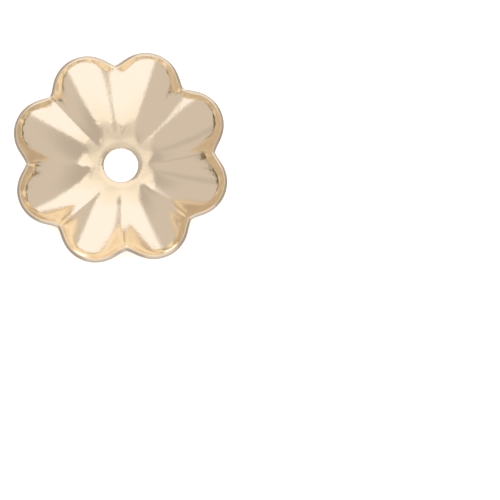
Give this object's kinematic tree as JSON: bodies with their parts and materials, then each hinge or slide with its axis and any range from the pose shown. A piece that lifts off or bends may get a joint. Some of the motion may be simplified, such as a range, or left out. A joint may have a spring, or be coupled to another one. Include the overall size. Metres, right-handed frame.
{
  "type": "bead cap",
  "caption": "Scalloped bead cap: a shallow fluted petal cup of thin polished sheet with a flat crown, a thread hole in its centre and a lobed rim.",
  "frame": {"origin": "centre of the crown's underside, which is what the cap rests on", "axes": "+Z along the thread hole, out of the hollow; +X through one petal's tip"},
  "size_m": [0.008, 0.008, 0.0016],
  "materials": {
    "polished_gold": "polished pale gold layer, bright inside and out"
  },
  "bodies": {
    "root": {"petal_cap": "polished_gold"}
  },
  "joints": []
}
